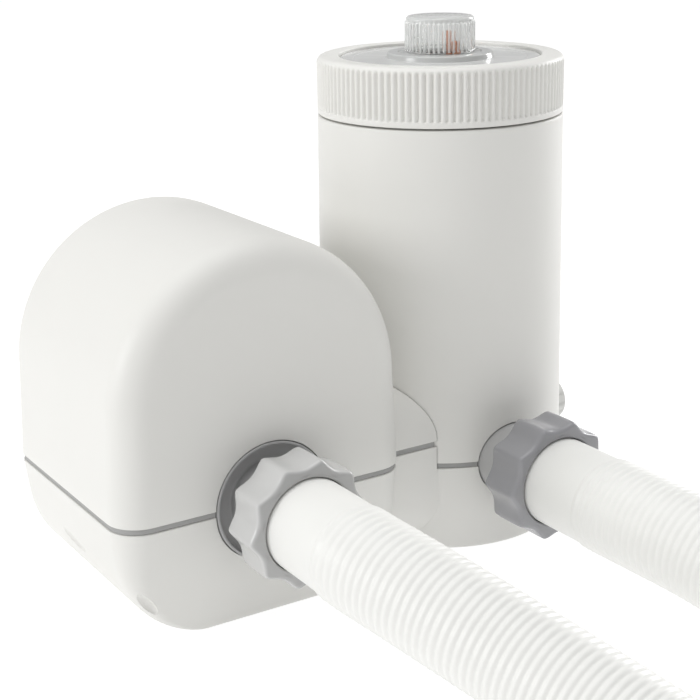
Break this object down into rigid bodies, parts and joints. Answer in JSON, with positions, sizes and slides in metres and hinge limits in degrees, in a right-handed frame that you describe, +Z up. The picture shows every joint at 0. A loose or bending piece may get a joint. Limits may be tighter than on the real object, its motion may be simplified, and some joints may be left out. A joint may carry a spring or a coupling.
{
  "type": "salt chlorine generator",
  "caption": "Above-ground pool salt chlorine generator: arched power unit joined by a bridge to a round cell canister with a ribbed screw collar, clear vent cap and hose couplings.",
  "frame": {"origin": "on the floor, on the upright axis of the cell canister", "axes": "+Z up, -Y towards the hoses, -X towards the power unit"},
  "size_m": [0.3156, 0.4855, 0.271],
  "materials": {
    "shell_plastic": "off-white moulded plastic with a fine satin grain",
    "collar_plastic": "off-white moulded plastic, satin",
    "nut_grey": "mid-grey moulded plastic, satin",
    "port_dark": "dark grey moulded plastic",
    "hose_white": "white flexible vinyl with a low gloss",
    "seal_grey": "grey moulded rubber",
    "seal_rubber": "black rubber",
    "washer_plastic": "natural low-friction plastic",
    "lid_smoke": "grey translucent plastic",
    "cap_clear": "clear moulded plastic",
    "terminal_black": "black glass-filled plastic",
    "blade_copper": "bright copper, slightly toned",
    "cell_plastic": "pale grey moulded plastic",
    "electrode_metal": "dark oxide-coated titanium, matte",
    "titanium": "bare titanium",
    "steel": "stainless steel",
    "core_iron": "varnished steel laminations",
    "coil_copper": "enamelled copper winding",
    "board_green": "green solder-masked circuit board",
    "sink_aluminium": "extruded aluminium, satin",
    "panel_grey": "dark grey moulded plastic, satin",
    "button_soft": "pale grey soft-touch key",
    "lens_smoke": "smoked window",
    "cord_grey": "light grey flexible cord jacket",
    "foot_rubber": "dark grey rubber"
  },
  "bodies": {
    "root": {"base_tray": "shell_plastic", "power_cover": "shell_plastic", "bridge_cover": "shell_plastic", "canister_shell": "shell_plastic", "inlet_port": "port_dark", "outlet_port": "port_dark", "case_seal": "seal_grey", "canister_seal": "seal_grey", "pipe_o_ring_inlet": "seal_rubber", "pipe_o_ring_canister": "seal_rubber", "reed_sensor": "terminal_black", "cord_gland": "terminal_black", "transfer_pipe": "cell_plastic", "flow_chamber": "cell_plastic", "contact_socket": "cell_plastic", "paddle_pin": "steel", "case_screw_1": "steel", "case_screw_2": "steel", "case_screw_3": "steel", "case_screw_4": "steel", "transformer_core": "core_iron", "transformer_coil": "coil_copper", "control_board": "board_green", "heat_sink": "sink_aluminium", "panel_bezel": "panel_grey", "status_lens": "lens_smoke", "mains_cord": "cord_grey", "cell_lead": "cord_grey", "foot_front_left": "foot_rubber", "foot_rear_left": "foot_rubber", "foot_canister": "foot_rubber"},
    "lid_cell": {"lid": "lid_smoke", "lid_o_ring": "seal_rubber", "terminal_block": "terminal_black", "terminal_blade_a": "blade_copper", "terminal_blade_b": "blade_copper", "cell_top_plate": "cell_plastic", "cell_bottom_plate": "cell_plastic", "electrode_plate_1": "electrode_metal", "electrode_plate_2": "electrode_metal", "electrode_plate_3": "electrode_metal", "electrode_plate_4": "electrode_metal", "bus_bar_a": "titanium", "bus_bar_b": "titanium"},
    "collar_carrier": {"slip_washer": "washer_plastic"},
    "collar_ring": {"collar": "collar_plastic"},
    "vent_carrier": {"vent_cap_seal": "seal_rubber"},
    "vent_knob": {"vent_cap": "cap_clear"},
    "inlet_coupling": {"inlet_hose": "hose_white", "inlet_washer": "seal_rubber"},
    "inlet_ring": {"inlet_nut": "nut_grey"},
    "outlet_coupling": {"outlet_hose": "hose_white", "outlet_washer": "seal_rubber"},
    "outlet_ring": {"outlet_nut": "nut_grey"},
    "drain_carrier": {"drain_seal": "seal_rubber"},
    "drain_knob": {"drain_plug": "cell_plastic"},
    "paddle": {"flow_paddle": "cell_plastic"},
    "power_key": {"power_button": "button_soft"},
    "boost_key": {"boost_button": "button_soft"}
  },
  "joints": [
    {"name": "lid_lift", "type": "slide", "parent": "root", "child": "lid_cell", "axis": [0, 0, 1], "range_m": [0, 0.235]},
    {"name": "collar_rise", "type": "slide", "parent": "lid_cell", "child": "collar_carrier", "axis": [0, 0, 1], "range_m": [0, 0.01]},
    {"name": "collar_turn", "type": "hinge", "parent": "collar_carrier", "child": "collar_ring", "pos_m": [0, 0, 0.237], "axis": [0, 0, 1], "range_deg": [0, 900]},
    {"name": "vent_rise", "type": "slide", "parent": "lid_cell", "child": "vent_carrier", "axis": [0, 0, 1], "range_m": [0, 0.0075]},
    {"name": "vent_turn", "type": "hinge", "parent": "vent_carrier", "child": "vent_knob", "pos_m": [0, 0, 0.262], "axis": [0, 0, 1], "range_deg": [0, 900]},
    {"name": "inlet_pull", "type": "slide", "parent": "root", "child": "inlet_coupling", "axis": [0, -1, 0], "range_m": [0, 0.01]},
    {"name": "inlet_turn", "type": "hinge", "parent": "inlet_coupling", "child": "inlet_ring", "pos_m": [-0.1456, -0.0936, 0.0609], "axis": [0, -1, 0], "range_deg": [0, 900]},
    {"name": "outlet_pull", "type": "slide", "parent": "root", "child": "outlet_coupling", "axis": [0, -1, 0], "range_m": [0, 0.01]},
    {"name": "outlet_turn", "type": "hinge", "parent": "outlet_coupling", "child": "outlet_ring", "pos_m": [0, -0.0936, 0.0483], "axis": [0, -1, 0], "range_deg": [0, 900]},
    {"name": "drain_pull", "type": "slide", "parent": "root", "child": "drain_carrier", "axis": [0.9848, 0.1736, 0], "range_m": [0, 0.01]},
    {"name": "drain_turn", "type": "hinge", "parent": "drain_carrier", "child": "drain_knob", "pos_m": [0.07878, 0.01389, 0.041], "axis": [0.9848, 0.1736, 0], "range_deg": [0, 900]},
    {"name": "paddle_swing", "type": "hinge", "parent": "root", "child": "paddle", "pos_m": [-0.1456, -0.044, 0.084], "axis": [1, 0, 0], "range_deg": [0, 40]},
    {"name": "power_press", "type": "slide", "parent": "root", "child": "power_key", "axis": [0, -1, 0], "range_m": [0, 0.001], "stiffness_N_per_m": 300},
    {"name": "boost_press", "type": "slide", "parent": "root", "child": "boost_key", "axis": [0, -1, 0], "range_m": [0, 0.001], "stiffness_N_per_m": 300}
  ],
  "couplings": [
    {"joint": "collar_rise", "follows": "collar_turn", "m_per_rad": 0.000636},
    {"joint": "vent_rise", "follows": "vent_turn", "m_per_rad": 0.000477},
    {"joint": "inlet_pull", "follows": "inlet_turn", "m_per_rad": 0.000636},
    {"joint": "outlet_pull", "follows": "outlet_turn", "m_per_rad": 0.000636},
    {"joint": "drain_pull", "follows": "drain_turn", "m_per_rad": 0.000636}
  ]
}
